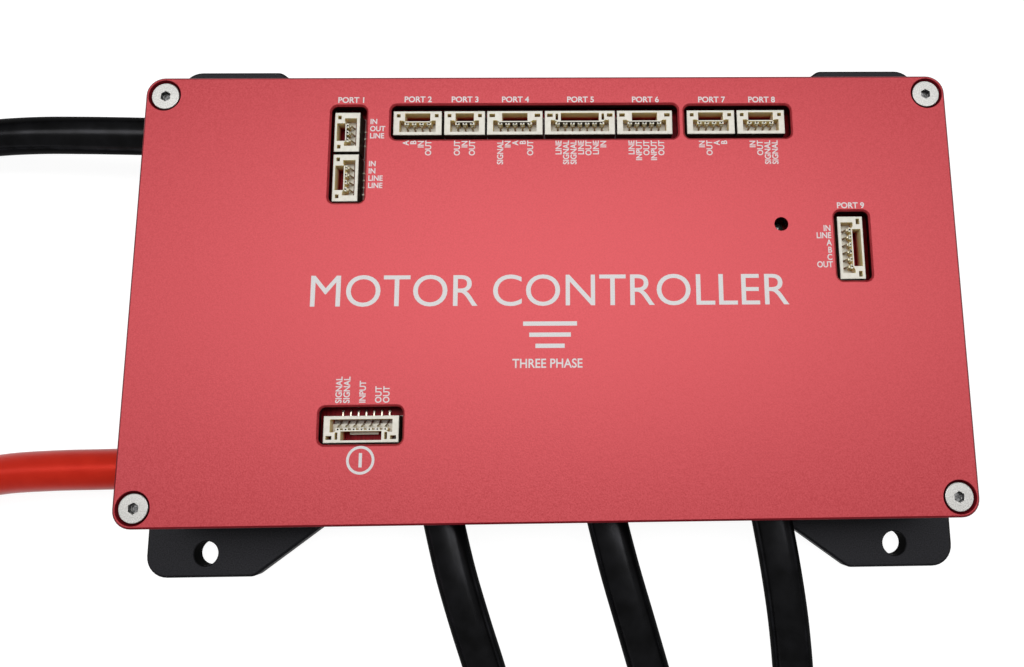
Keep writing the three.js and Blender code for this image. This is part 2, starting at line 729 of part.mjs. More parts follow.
function leadTube({ route }) {
  const curve = leadCurve(route);
  const geometry = new THREE.ExtrudeGeometry(polygonOutline(LEAD_DIAMETER, LEAD_SIDES), {
    steps: Math.ceil(curve.getLength() / LEAD_STEP),
    extrudePath: curve,
    bevelEnabled: false,
  });
  return toSolid(geometry);
}

// The stripped and tinned strands past the end of the insulation
function tinnedEnd({ route }) {
  const end = new THREE.Vector3(...route.at(-1));
  const ahead = end.clone().sub(new THREE.Vector3(...route.at(-2))).normalize();
  const from = end.clone().addScaledVector(ahead, TOUCH_GAP);
  const to = from.clone().addScaledVector(ahead, TINNED_END_LENGTH);
  return rod(TINNED_END_DIAMETER, from.toArray(), to.toArray(), 20);
}

// ---------------------------------------------------------------- assembly

addPart('top_cover', topCover(), MATERIALS.redAnodised);
addPart('base_housing', baseHousing(), MATERIALS.blackAnodised);

for (const [corner, [sideX, sideY]] of Object.entries(CORNERS)) {
  addPart(
    `cover_screw_${corner}`, coverScrew(sideX * coverScrewX, sideY * coverScrewY), MATERIALS.stainless,
  );
}

addPart('logic_board', board(LOGIC_BOARD_BOTTOM, LOGIC_BOARD_TOP), MATERIALS.redBoard);
addPart('power_board', board(POWER_BOARD_BOTTOM, POWER_BOARD_TOP), MATERIALS.redBoard);
addPart('thermal_pad', thermalPad(), MATERIALS.thermalPad);

for (const [corner, [x, y]] of Object.entries(STANDOFFS)) {
  addPart(`standoff_${corner}`, standoff(x, y), MATERIALS.brass);
  addPart(`board_screw_${corner}`, boardScrew(x, y), MATERIALS.stainless);
}

HEADERS.forEach(addHeader);

for (const [phase, x] of Object.entries(TRANSISTOR_X_BY_PHASE)) {
  for (const [side, y] of Object.entries(TRANSISTOR_Y)) {
    addPart(`transistor_${phase}_${side}`, transistor(x, y), MATERIALS.transistorEpoxy);
  }
}

CAPACITOR_PLACES.forEach(([x, y], i) => {
  addPart(`capacitor_${i + 1}`, capacitor(x, y), MATERIALS.capacitorCan);
});

addPart('board_link', boardLink(), MATERIALS.blackPlastic);
addPart('indicator_lens', indicatorLens(), MATERIALS.clearLens);

for (const [name, lead] of Object.entries(LEADS)) {
  const rubber = lead.colour === 'red' ? MATERIALS.redRubber : MATERIALS.blackRubber;
  addPart(`terminal_${name}`, terminal(lead), MATERIALS.brass);
  addPart(`grommet_${name}`, grommet(lead), MATERIALS.blackRubber);
  addPart(`lead_${name}`, leadTube(lead), rubber);
  addPart(`tinned_end_${name}`, tinnedEnd(lead), MATERIALS.tinnedCopper);
}

export default controller;
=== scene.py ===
"""The looks of an electronic speed controller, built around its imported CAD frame.

Everything is in metres in the row frame: X along the case, Y towards the signal headers, Z up.
"""

import json
import math

import bmesh
import bpy
from mathutils import Matrix, Vector

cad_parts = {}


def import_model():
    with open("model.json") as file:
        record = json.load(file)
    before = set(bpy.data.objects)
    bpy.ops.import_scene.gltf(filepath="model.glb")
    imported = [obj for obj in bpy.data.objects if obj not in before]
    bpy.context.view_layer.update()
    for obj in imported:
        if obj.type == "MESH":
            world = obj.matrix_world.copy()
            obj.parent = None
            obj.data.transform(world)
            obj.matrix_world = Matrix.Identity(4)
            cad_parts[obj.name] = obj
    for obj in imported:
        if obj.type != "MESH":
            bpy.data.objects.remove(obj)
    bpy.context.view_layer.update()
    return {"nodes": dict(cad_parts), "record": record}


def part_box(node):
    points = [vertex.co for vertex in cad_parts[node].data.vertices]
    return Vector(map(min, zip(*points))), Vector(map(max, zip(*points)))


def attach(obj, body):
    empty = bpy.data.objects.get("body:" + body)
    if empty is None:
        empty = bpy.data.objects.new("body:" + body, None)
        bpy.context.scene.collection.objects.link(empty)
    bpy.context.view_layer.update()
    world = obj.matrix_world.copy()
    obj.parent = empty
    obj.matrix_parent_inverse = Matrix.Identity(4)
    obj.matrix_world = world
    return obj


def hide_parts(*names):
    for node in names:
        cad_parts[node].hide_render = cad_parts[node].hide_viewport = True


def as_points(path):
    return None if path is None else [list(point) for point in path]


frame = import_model()

MM = 0.001
BODY = "root"

# ---------------------------------------------------------------- sizes shared with the part's source

COVER_LOW, COVER_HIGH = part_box("top_cover")
BASE_LOW, BASE_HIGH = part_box("base_housing")
COVER_TOP = COVER_HIGH.z
LOGIC_BOARD_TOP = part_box("logic_board")[1].z
SCREW_HEAD_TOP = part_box("cover_screw_back_left")[1].z

LEAD_DIAMETER = 6.6 * MM
INSULATION = 1.1 * MM
TINNED_DIAMETER = 4.4 * MM

# Lead routes in millimetres, from the terminal in the case to the cut end
LEADS = {
    "battery_negative": {
        "wall": "left",
        "slot": "lead_black",
        "route": [
            (-58, 29.7, 14), (-66, 29.7, 14), (-74, 29.9, 14), (-82, 30.2, 13.6), (-91, 30.7, 12.2),
            (-100, 31, 10), (-108, 30.8, 7.6), (-116, 29.4, 5.4), (-123.5, 26, 4), (-130, 20.5, 3.4),
            (-134.5, 13, 3.4), (-136.6, 4.5, 3.4), (-137, -5, 3.4), (-137, -15, 3.4), (-137, -25, 3.4),
            (-137, -35, 3.4), (-137, -45, 3.4), (-137, -56, 3.4),
        ],
    },
    "battery_positive": {
        "wall": "left",
        "slot": "lead_red",
        "route": [
            (-58, -27.5, 14), (-66, -27.5, 14), (-74, -27.6, 14), (-82, -27.7, 13.6), (-91, -28.2, 12.2),
            (-100, -29.8, 10), (-108, -33.4, 7.6), (-114.6, -39.4, 5.4), (-119.4, -47, 4),
            (-122, -55.5, 3.4), (-123, -65, 3.4), (-123, -75, 3.4), (-123, -85, 3.4), (-123, -95, 3.4),
            (-123, -105, 3.4), (-123, -115, 3.4), (-123, -125.5, 3.4),
        ],
    },
    "phase_a": {
        "wall": "front",
        "slot": "lead_black",
        "route": [
            (-19.4, -29.7, 14), (-17.6, -37.5, 14), (-15.7, -45, 13.8), (-13.3, -53, 12.9),
            (-10.8, -61, 11.3), (-8.7, -69, 9.3), (-8.1, -77.5, 7.1), (-9.9, -86, 5.1), (-14.5, -93.5, 3.8),
            (-21.3, -99.2, 3.4), (-29.5, -102.2, 3.4), (-39, -103, 3.4), (-49, -103, 3.4),
            (-59, -103, 3.4), (-69, -103, 3.4), (-79, -103, 3.4), (-89, -103, 3.4), (-100, -103, 3.4),
        ],
    },
    "phase_b": {
        "wall": "front",
        "slot": "lead_black",
        "route": [
            (7.4, -29.7, 14), (9.2, -37.5, 14), (11.1, -45, 13.8), (13.4, -53, 12.9), (15.7, -61, 11.3),
            (18, -69, 9.3), (20.1, -77.5, 7.1), (20.9, -86.5, 5.1), (19, -95, 3.8), (14.4, -102.5, 3.4),
            (7.5, -108.2, 3.4), (-1, -111.2, 3.4), (-10.5, -112, 3.4), (-20.5, -112, 3.4),
            (-30.5, -112, 3.4), (-40.5, -112, 3.4), (-50.5, -112, 3.4), (-62, -112, 3.4),
        ],
    },
    "phase_c": {
        "wall": "front",
        "slot": "lead_black",
        "route": [
            (35.1, -29.7, 14), (36.4, -37.5, 14), (37.5, -45, 13.8), (38.5, -53, 12.9), (39.2, -61, 11.3),
            (39.8, -70, 9.1), (40.2, -79, 6.8), (40.2, -88, 4.8), (39.6, -96.5, 3.7), (36.9, -105, 3.4),
            (31.7, -112.3, 3.4), (24.4, -117.8, 3.4), (15.8, -120.7, 3.4), (6.5, -121.4, 3.4),
            (-3.5, -121.4, 3.4), (-13.5, -121.4, 3.4), (-23.5, -121.4, 3.4), (-34, -121.4, 3.4),
        ],
    },
}

# Headers: the turn about Z, in degrees, from latch side at the back, and a plain word for each contact
HEADER_PITCH = 1.25 * MM
HEADER_DEPTH = 4.2 * MM
HEADER_HEIGHT = 4.05 * MM
HEADERS = {
    "aux_upper": (90, ("IN", "OUT", "LINE")),
    "aux_lower": (90, ("IN", "IN", "LINE", "LINE")),
    "power_button": (0, ("A", "B", "IN", "OUT")),
    "servo": (0, ("OUT", "IN", "OUT")),
    "can_bus": (0, ("SIGNAL", "IN", "A", "B", "OUT")),
    "serial": (0, ("LINE", "SIGNAL", "SIGNAL", "LINE", "OUT", "LINE", "IN")),
    "debug": (0, ("LINE", "INPUT", "OUT", "INPUT", "OUT")),
    "data": (0, ("IN", "OUT", "A", "B")),
    "radio": (0, ("IN", "OUT", "SIGNAL", "SIGNAL")),
    "rotor_sensor": (-90, ("IN", "LINE", "A", "B", "C", "OUT")),
    "ignition": (180, ("SIGNAL", "SIGNAL", "", "INPUT", "", "OUT", "OUT")),
}

CORNERS = ("back_left", "back_right", "front_left", "front_right")


# ---------------------------------------------------------------- finishes

class Finish:
    """A material with one Principled shader, and short ways to add grain, bump and tone to it."""

    def __init__(self, name, colour, roughness, metallic=0.0, **sockets):
        self.material = bpy.data.materials.new(name)
        self.material.use_nodes = True
        self.tree = self.material.node_tree
        self.shader = self.tree.nodes["Principled BSDF"]
        self.shader.inputs["Base Color"].default_value = (*colour, 1.0)
        self.shader.inputs["Roughness"].default_value = roughness
        self.shader.inputs["Metallic"].default_value = metallic
        for socket, value in sockets.items():
            self.shader.inputs[socket.replace("_", " ")].default_value = value
        self.place = self.tree.nodes.new("ShaderNodeTexCoord").outputs["Object"]
        self.normal = None

    def node(self, kind, **settings):
        made = self.tree.nodes.new(kind)
        for key, value in settings.items():
            setattr(made, key, value)
        return made

    def link(self, source, target):
        self.tree.links.new(source, target)

    def noise(self, size, detail=2.0, stretch=(1, 1, 1)):
        """Noise whose features are about size metres across."""
        mapping = self.node("ShaderNodeMapping")
        mapping.inputs["Scale"].default_value = stretch
        texture = self.node("ShaderNodeTexNoise")
        texture.inputs["Scale"].default_value = 1 / size
        texture.inputs["Detail"].default_value = detail
        self.link(self.place, mapping.inputs["Vector"])
        self.link(mapping.outputs["Vector"], texture.inputs["Vector"])
        return texture.outputs["Fac"]

    def rings(self, spacing):
        """Round turning marks about the piece's own Z axis."""
        flat = self.node("ShaderNodeVectorMath", operation="MULTIPLY")
        flat.inputs[1].default_value = (1, 1, 0)
        length = self.node("ShaderNodeVectorMath", operation="LENGTH")
        scaled = self.node("ShaderNodeMath", operation="MULTIPLY")
        scaled.inputs[1].default_value = 2 * math.pi / spacing
        wave = self.node("ShaderNodeMath", operation="SINE")
        self.link(self.place, flat.inputs[0])
        self.link(flat.outputs["Vector"], length.inputs[0])
        self.link(length.outputs["Value"], scaled.inputs[0])
        self.link(scaled.outputs["Value"], wave.inputs[0])
        return wave.outputs["Value"]

    def height(self, low, high):
        """Runs from 0 to 1 as the piece's own Z runs from low to high."""
        axes = self.node("ShaderNodeSeparateXYZ")
        spread = self.node("ShaderNodeMapRange")
        spread.inputs["From Min"].default_value = low
        spread.inputs["From Max"].default_value = high
        self.link(self.place, axes.inputs["Vector"])
        self.link(axes.outputs["Z"], spread.inputs["Value"])
        return spread.outputs["Result"]

    def tone(self, factor, dark, light, low=0.35, high=0.65):
        """The colour runs from dark to light as the factor runs from low to high."""
        ramp = self.node("ShaderNodeValToRGB")
        ramp.color_ramp.elements[0].position = low
        ramp.color_ramp.elements[1].position = high
        ramp.color_ramp.elements[0].color = (*dark, 1.0)
        ramp.color_ramp.elements[1].color = (*light, 1.0)
        self.link(factor, ramp.inputs["Fac"])
        self.link(ramp.outputs["Color"], self.shader.inputs["Base Color"])
        return ramp.color_ramp

    def gloss(self, factor, low, high):
        """The roughness runs from low to high over the middle of the noise."""
        spread = self.node("ShaderNodeMapRange")
        spread.inputs["From Min"].default_value = 0.3
        spread.inputs["From Max"].default_value = 0.7
        spread.inputs["To Min"].default_value = low
        spread.inputs["To Max"].default_value = high
        self.link(factor, spread.inputs["Value"])
        self.link(spread.outputs["Result"], self.shader.inputs["Roughness"])
        return self

    def bump(self, factor, height, strength=1.0):
        """A bump of that height in metres, on top of those before it."""
        made = self.node("ShaderNodeBump")
        made.inputs["Distance"].default_value = height
        made.inputs["Strength"].default_value = strength
        self.link(factor, made.inputs["Height"])
        if self.normal is not None:
            self.link(self.normal, made.inputs["Normal"])
        self.normal = made.outputs["Normal"]
        self.link(self.normal, self.shader.inputs["Normal"])
        return self


def cover_anodised():
    finish = Finish("cover_anodised", (0.33, 0.013, 0.021), 0.43, metallic=0.42, Specular_IOR_Level=0.65)
    grain = finish.noise(0.22 * MM, detail=3)
    finish.tone(grain, (0.28, 0.002, 0.008), (0.38, 0.028, 0.037), 0.3, 0.7)
    finish.gloss(grain, 0.38, 0.48)
    return finish.bump(grain, 0.026 * MM, 0.6).material


def cover_edge_painted_shade():
    """The machined edges of the cover, painted darker than its top as shade, with painted shade that
    deepens towards the inside.
    """
    finish = Finish("cover_edge_painted_shade", (0.15, 0.002, 0.007), 0.42, metallic=0.5, Specular_IOR_Level=0.1)
    half = (COVER_HIGH.z - COVER_LOW.z) / 2
    fade_starts, fade_middle = 0.4, 0.7
    # Painted shade: the colour darkens from the top of the cover's edges down into its cut-outs.
    ramp = finish.tone(
        finish.height(-half, half), (0.006, 0.001, 0.001), (0.19, 0.003, 0.009), fade_starts, 1.0,
    )
    ramp.elements.new(fade_middle).color = (0.05, 0.001, 0.003, 1.0)
    grain = finish.noise(0.12 * MM, detail=2)
    return finish.bump(grain, 0.004 * MM, 0.4).material


def base_anodised():
    finish = Finish(
        "base_anodised", (0.018, 0.018, 0.020), 0.4, metallic=0.75,
        Specular_IOR_Level=0.15, Specular_Tint=(0.12, 0.12, 0.12, 1),
    )
    grain = finish.noise(0.2 * MM, detail=3)
    finish.tone(grain, (0.013, 0.013, 0.0145), (0.023, 0.023, 0.0255))
    finish.gloss(grain, 0.36, 0.46)
    return finish.bump(grain, 0.005 * MM, 0.5).material


def bore_painted_shade():
    """The drilled walls of the ears' holes, painted much darker than the faces round them as shade."""
    finish = Finish(
        "bore_painted_shade", (0.004, 0.004, 0.0045), 0.5, metallic=0.9,
        Specular_IOR_Level=0.05, Specular_Tint=(0.03, 0.03, 0.03, 1),
    )
    grain = finish.noise(0.3 * MM, detail=3)
    finish.tone(grain, (0.003, 0.003, 0.0034), (0.007, 0.007, 0.0078))
    return finish.bump(grain, 0.004 * MM, 0.4).material


def stainless():
    finish = Finish("stainless", (0.38, 0.375, 0.36), 0.34, metallic=0.85)
    specks = finish.noise(0.18 * MM, detail=4)
    finish.tone(specks, (0.29, 0.285, 0.27), (0.45, 0.445, 0.43), 0.35, 0.65)
    finish.gloss(finish.noise(0.4 * MM), 0.3, 0.42)
    finish.bump(finish.rings(0.09 * MM), 0.0012 * MM, 0.5)
    return finish.bump(specks, 0.004 * MM, 0.5).material


def socket_painted_shade():
    """The inside of a hexagon socket, painted dark as shade."""
    finish = Finish("socket_painted_shade", (0.10, 0.10, 0.10), 0.3, metallic=0.8)
    grain = finish.noise(0.3 * MM, detail=2)
    finish.tone(grain, (0.03, 0.03, 0.03), (0.22, 0.22, 0.22))
    return finish.bump(grain, 0.006 * MM, 0.5).material


def brass():
    finish = Finish("brass", (0.72, 0.53, 0.22), 0.3, metallic=1.0)
    grain = finish.noise(0.5 * MM, detail=3, stretch=(1, 1, 0.15))
    finish.tone(grain, (0.62, 0.44, 0.17), (0.78, 0.60, 0.28))
    return finish.bump(grain, 0.004 * MM, 0.5).material


def tinned_copper():
    finish = Finish("tinned_copper", (0.62, 0.61, 0.58), 0.34, metallic=1.0)
    grain = finish.noise(0.5 * MM, detail=4)
    finish.tone(grain, (0.44, 0.42, 0.39), (0.70, 0.69, 0.67))
    finish.gloss(grain, 0.25, 0.45)
    return finish.bump(grain, 0.03 * MM, 0.5).material


def contact_metal():
    finish = Finish("contact_metal", (0.60, 0.57, 0.46), 0.3, metallic=0.9)
    grain = finish.noise(0.25 * MM, detail=2)
    finish.tone(grain, (0.46, 0.42, 0.30), (0.66, 0.63, 0.54))
    return finish.gloss(grain, 0.24, 0.4).material


def header_plastic():
    finish = Finish("header_plastic", (0.59, 0.57, 0.50), 0.45, Specular_IOR_Level=0.35)
    mottle = finish.noise(0.6 * MM, detail=3)
    finish.tone(mottle, (0.56, 0.54, 0.47), (0.63, 0.61, 0.54))
    finish.gloss(finish.noise(0.3 * MM), 0.4, 0.52)
    return finish.bump(finish.noise(0.08 * MM), 0.003 * MM, 0.4).material


def header_inside_painted_light():
    """The walls inside a header: the plastic painted darker and more olive as shade, with a painted red
    reflection of the board in their lower part.
    """
    finish = Finish(
        "header_inside_painted_light", (0.52, 0.42, 0.21), 0.55, Specular_IOR_Level=0.2,
        Subsurface_Weight=0.8, Subsurface_Radius=(1.0, 0.85, 0.5), Subsurface_Scale=1.2 * MM,
    )
    heights = (0.5 * MM - HEADER_HEIGHT / 2, HEADER_HEIGHT / 2)
    # Painted shade and a painted red reflection of the board: dark red at the foot, olive higher up,
    # lightest at the top.
    ramp = finish.tone(finish.height(*heights), (0.2, 0.003, 0.008), (0.66, 0.58, 0.34), 0.0, 0.85)
    ramp.elements.new(0.25).color = (0.48, 0.08, 0.06, 1.0)
    ramp.elements.new(0.45).color = (0.62, 0.46, 0.25, 1.0)
    return finish.bump(finish.noise(0.08 * MM), 0.003 * MM, 0.4).material


def header_shade():
    """The outer sides and the contact holes of a header, painted near-black as shade."""
    finish = Finish("header_shade", (0.06, 0.05, 0.035), 0.6, Specular_IOR_Level=0.1)
    mottle = finish.noise(0.5 * MM, detail=3)
    finish.tone(mottle, (0.04, 0.032, 0.022), (0.08, 0.065, 0.045))
    return finish.bump(mottle, 0.004 * MM, 0.4).material


def circuit_board():
    finish = Finish("circuit_board", (0.22, 0.004, 0.010), 0.45, Specular_IOR_Level=0.08)
    weave = finish.noise(0.35 * MM, detail=1, stretch=(1, 0.25, 1))
    finish.tone(weave, (0.17, 0.003, 0.007), (0.28, 0.006, 0.012))
    return finish.bump(weave, 0.008 * MM, 0.5).material


def thermal_pad():
    finish = Finish("thermal_pad", (0.30, 0.34, 0.38), 0.85)
    fill = finish.noise(0.25 * MM, detail=4)
    finish.tone(fill, (0.25, 0.29, 0.33), (0.36, 0.40, 0.44))
    return finish.bump(fill, 0.02 * MM, 0.6).material


def moulded_black(name):
    finish = Finish(name, (0.012, 0.012, 0.013), 0.48, Specular_IOR_Level=0.3)
    grain = finish.noise(0.12 * MM, detail=3)
    finish.tone(grain, (0.009, 0.009, 0.010), (0.018, 0.018, 0.019))
    finish.gloss(finish.noise(0.9 * MM), 0.42, 0.56)
    return finish.bump(grain, 0.006 * MM, 0.6).material


def capacitor_can():
    finish = Finish("capacitor_can", (0.60, 0.62, 0.64), 0.28, metallic=1.0)
    drawn = finish.noise(0.4 * MM, detail=3, stretch=(1, 1, 0.08))
    finish.tone(drawn, (0.52, 0.54, 0.56), (0.68, 0.70, 0.72))
    return finish.bump(drawn, 0.004 * MM, 0.5).material


def indicator_lens():
    # The lens is clear plastic; its dark tint is painted shade from the dark hole it sits in.
    finish = Finish("indicator_lens", (0.08, 0.09, 0.08), 0.15, Transmission_Weight=0.6, IOR=1.49)
    haze = finish.noise(0.3 * MM, detail=2)
    finish.gloss(haze, 0.1, 0.25)
    return finish.bump(haze, 0.004 * MM, 0.4).material


def silicone(name, dark, light, roughness, metallic, edge, specular=0.1):
    """Extruded silicone rubber: satin, with a faint bloom and slow ripples, and dark towards its edges.

    Rubber isn't metallic: that part is there because its dark edge tint keeps the edges from going
    pale over the white floor.
    """
    finish = Finish(
        name, light, roughness, metallic=metallic,
        Specular_IOR_Level=specular, Specular_Tint=(edge, edge, edge, 1),
    )
    finish.tone(finish.noise(3 * MM, detail=2), dark, light, 0.3, 0.7)
    finish.gloss(finish.noise(4 * MM, detail=2), roughness - 0.03, roughness + 0.03)
    finish.bump(finish.noise(6 * MM), 0.04 * MM, 0.3)
    return finish.bump(finish.noise(0.3 * MM, detail=2), 0.0015 * MM, 0.3).material


def grommet_rubber():
    finish = Finish("grommet_rubber", (0.008, 0.008, 0.009), 0.6, Specular_IOR_Level=0.2)
    bloom = finish.noise(0.7 * MM, detail=4)
    finish.tone(bloom, (0.006, 0.006, 0.007), (0.014, 0.014, 0.015))
    return finish.bump(bloom, 0.012 * MM, 0.5).material


def etched_metal():
    """Bare aluminium where the laser took the anodising off."""
    finish = Finish("etched_metal", (0.50, 0.49, 0.49), 0.55, metallic=0.15)
    grain = finish.noise(0.12 * MM, detail=3)
    finish.tone(grain, (0.44, 0.43, 0.43), (0.56, 0.55, 0.55))
    return finish.bump(grain, 0.004 * MM, 0.5).material


def board_ink():
    finish = Finish("board_ink", (0.30, 0.28, 0.26), 0.55)
    grain = finish.noise(0.2 * MM, detail=3)
    finish.tone(grain, (0.22, 0.20, 0.18), (0.36, 0.34, 0.32))
    return finish.bump(grain, 0.004 * MM, 0.4).material


FINISHES = {
    "cover_anodised": cover_anodised(),
    "base_anodised": base_anodised(),
    "stainless": stainless(),
    "brass": brass(),
    "tinned_copper": tinned_copper(),
    "header_plastic": header_plastic(),
    "circuit_board": circuit_board(),
    "thermal_pad": thermal_pad(),
    "transistor_body": moulded_black("transistor_body"),
    "capacitor_can": capacitor_can(),
    "connector_plastic": moulded_black("connector_plastic"),
    "indicator_lens": indicator_lens(),
    "grommet_rubber": grommet_rubber(),
    "lead_black": silicone("lead_black", (0.014, 0.014, 0.0146), (0.022, 0.022, 0.0240), 0.23, 0.9, 0.05),
    "lead_red": silicone("lead_red", (0.43, 0.017, 0.008), (0.47, 0.021, 0.010), 0.33, 0.15, 0.15, 0.35),
}


# ---------------------------------------------------------------- building helpers

def piece_from(bm, name, slot, material=None, place=None, sharp_angle=35):
    """A new piece on the body, from a bmesh in the row frame. Its own origin goes to place."""
    origin = Vector(place) if place is not None else Vector()
    bmesh.ops.translate(bm, verts=bm.verts, vec=-origin)
    bmesh.ops.recalc_face_normals(bm, faces=bm.faces)
    mesh = bpy.data.meshes.new(name)
    bm.to_mesh(mesh)
    bm.free()
    mesh.materials.append(material or FINISHES[slot])
    mesh.shade_smooth()
    mesh.set_sharp_from_angle(angle=math.radians(sharp_angle))
    piece = bpy.data.objects.new(name, mesh)
    piece.location = origin
    bpy.context.scene.collection.objects.link(piece)
    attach(piece, BODY)
    return piece


def node_slots():
    return {entry["node"]: entry["material_slot"] for entry in frame["record"]["subparts"]}


SLOT_OF_NODE = node_slots()


def refined(node, bevel, segments=2, others=(), pick=None):
    """Stands for a CAD node: the same solid with its hard edges rounded by bevel metres.

    pick gives each face its finish by its middle and normal: 0 is the slot's, 1 the first of others.
    """
    slot = SLOT_OF_NODE[node]
    bm = bmesh.new()
    bm.from_mesh(frame["nodes"][node].data)
    bmesh.ops.remove_doubles(bm, verts=bm.verts, dist=0.0005 * MM)
    bmesh.ops.dissolve_limit(bm, angle_limit=math.radians(0.5), verts=bm.verts, edges=bm.edges)
    low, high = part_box(node)
    middle = (low + high) / 2
    piece = piece_from(bm, f"{node}_finished", slot, place=middle)
    rounding = piece.modifiers.new("rounding", "BEVEL")
    rounding.width = bevel
    rounding.segments = segments
    rounding.limit_method = "ANGLE"
    rounding.angle_limit = math.radians(32)
    shading = piece.modifiers.new("shading", "WEIGHTED_NORMAL")
    shading.keep_sharp = True
    shading.weight = 100
    apply_modifiers(piece)
    for material in others:
        piece.data.materials.append(material)
    if pick is not None:
        for face in piece.data.polygons:
            face.material_index = pick(face.center + middle, face.normal)
    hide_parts(node)
    return piece


def apply_modifiers(piece):
    bpy.context.view_layer.update()
    evaluated = piece.evaluated_get(bpy.context.evaluated_depsgraph_get())
    piece.data = bpy.data.meshes.new_from_object(evaluated)
    piece.modifiers.clear()


def add_box(bm, low, high, turn=None):
    """An upright box between two corners, turned by a matrix if one is given."""
    matrix = Matrix.Translation((Vector(low) + Vector(high)) / 2)
    size = Vector(high) - Vector(low)
    matrix = matrix @ Matrix.Diagonal((*size, 1.0))
    if turn is not None:
        matrix = turn @ matrix
    bmesh.ops.create_cube(bm, size=1.0, matrix=matrix)


# ---------------------------------------------------------------- camera

def photo_camera():
    data = bpy.data.cameras.new("photo_camera")
    data.sensor_width = 36
    data.lens = 34.79
    data.shift_x = -0.0823
    data.shift_y = -0.0700
    data.clip_start = 0.01
    camera = bpy.data.objects.new("photo_camera", data)
    camera.location = (0.00324, -0.02791, 0.18242)
    camera.rotation_euler = [math.radians(degrees) for degrees in (11.611, -1.412, -0.734)]
    bpy.context.scene.collection.objects.link(camera)
    bpy.context.scene.camera = camera


photo_camera()


# ---------------------------------------------------------------- leads

LEAD_SAMPLE = 1.5 * MM
LEAD_SIDES = 40


def smooth_path(points, step):
    """A centripetal Catmull-Rom curve through the points, sampled about every step metres."""
    padded = [2 * points[0] - points[1], *points, 2 * points[-1] - points[-2]]
    path = []
    for p0, p1, p2, p3 in zip(padded, padded[1:], padded[2:], padded[3:]):
        t0 = 0.0
        t1 = t0 + math.sqrt((p1 - p0).length)
        t2 = t1 + math.sqrt((p2 - p1).length)
        t3 = t2 + math.sqrt((p3 - p2).length)
        count = max(2, round((p2 - p1).length / step))
        for i in range(count):
            t = t1 + (t2 - t1) * i / count
            a1 = p0.lerp(p1, (t - t0) / (t1 - t0))
            a2 = p1.lerp(p2, (t - t1) / (t2 - t1))
            a3 = p2.lerp(p3, (t - t2) / (t3 - t2))
            b1 = a1.lerp(a2, (t - t0) / (t2 - t0))
            b2 = a2.lerp(a3, (t - t1) / (t3 - t1))
            path.append(b1.lerp(b2, (t - t1) / (t2 - t1)))
    path.append(points[-1].copy())
    return path


def frames_along(path):
    """A tangent and a side direction at each point, with no twist from one to the next."""
    tangents = []
    for i, point in enumerate(path):
        before = path[max(i - 1, 0)]
        after = path[min(i + 1, len(path) - 1)]
        tangents.append((after - before).normalized())
    side = tangents[0].orthogonal().normalized()
    frames = [(tangents[0], side)]
    for before, after in zip(tangents, tangents[1:]):
        side = before.rotation_difference(after) @ side
        side = (side - after * side.dot(after)).normalized()
        frames.append((after, side))
    return frames


def add_ring(bm, centre, tangent, side, radius, sides, shape=None):
    """A ring of vertices square to the tangent. shape scales the radius by the angle round it."""
    up = tangent.cross(side)
    ring = []
    for i in range(sides):
        angle = 2 * math.pi * i / sides
        reach = radius * (shape(angle) if shape else 1.0)
        ring.append(bm.verts.new(centre + (side * math.cos(angle) + up * math.sin(angle)) * reach))
    return ring


def bridge(bm, rings):
    for first, second in zip(rings, rings[1:]):
        for i in range(len(first)):
            j = (i + 1) % len(first)
            bm.faces.new((first[i], first[j], second[j], second[i]))


def lead_piece(name, lead):
    """The insulation of one lead: a tube with a rounded, cut end that shows its thickness."""
    path = smooth_path([Vector(point) * MM for point in lead["route"]], LEAD_SAMPLE)
    frames = frames_along(path)
    radius = LEAD_DIAMETER / 2
    inner = radius - INSULATION
    lip = 0.25 * MM
    bm = bmesh.new()
    rings = [
        add_ring(bm, point, tangent, side, radius, LEAD_SIDES)
        for point, (tangent, side) in zip(path[:-1], frames[:-1])
    ]
    end = path[-1]
    tangent, side = frames[-1]
    cut = [(-lip, radius), (-0.3 * lip, radius - 0.3 * lip), (0, radius - lip),
           (0, inner + lip / 2), (-lip / 2, inner), (-3 * MM, inner)]
    rings += [add_ring(bm, end + tangent * along, tangent, side, r, LEAD_SIDES) for along, r in cut]
    bridge(bm, rings)
    bm.faces.new(rings[0])
    bm.faces.new(rings[-1])
    piece = piece_from(bm, f"{name}_lead", lead["slot"])
    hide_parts(f"lead_{name}")
    return piece, path, (end, tangent, side)


STRAND_LOBES = 14
STRAND_LAY = 28 * MM


def tinned_piece(name, end, tangent, side):
    """A lay of strands soaked in tin: a lobed bar that twists, with a rounded tip."""
    low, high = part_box(f"tinned_end_{name}")
    length = (high - low).dot(Vector([abs(value) for value in tangent]))
    gap = 0.3 * MM
    inside = 2.4 * MM
    radius = TINNED_DIAMETER / 2
    tip = 0.7 * MM
    tip_share = 0.55
    groove = 0.06
    steps = 26
    bm = bmesh.new()
    rings = []
    total = inside + gap + length
    for i in range(steps + 1):
        along = total * i / steps
        twist = 2 * math.pi * along / STRAND_LAY
        left = min(total - along, tip)
        taper = tip_share + (1 - tip_share) * math.sqrt(max(0.0, 1 - (1 - left / tip) ** 2))

        def lobes(angle, twist=twist):
            return 1 - groove + groove * abs(math.cos((angle + twist) * STRAND_LOBES / 2))

        place = end + tangent * (along - inside)
        rings.append(add_ring(bm, place, tangent, side, radius * taper, 6 * STRAND_LOBES, shape=lobes))
    bridge(bm, rings)
    bm.faces.new(rings[0])
    bm.faces.new(rings[-1])
    piece = piece_from(bm, f"{name}_strands", "tinned_copper", sharp_angle=50)
    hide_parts(f"tinned_end_{name}")
    return piece


for lead_name, lead_facts in LEADS.items():
    lead_object, lead_path, lead_end = lead_piece(lead_name, lead_facts)
    strands = tinned_piece(lead_name, *lead_end)
    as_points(lead_path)


# ---------------------------------------------------------------- case and hardware

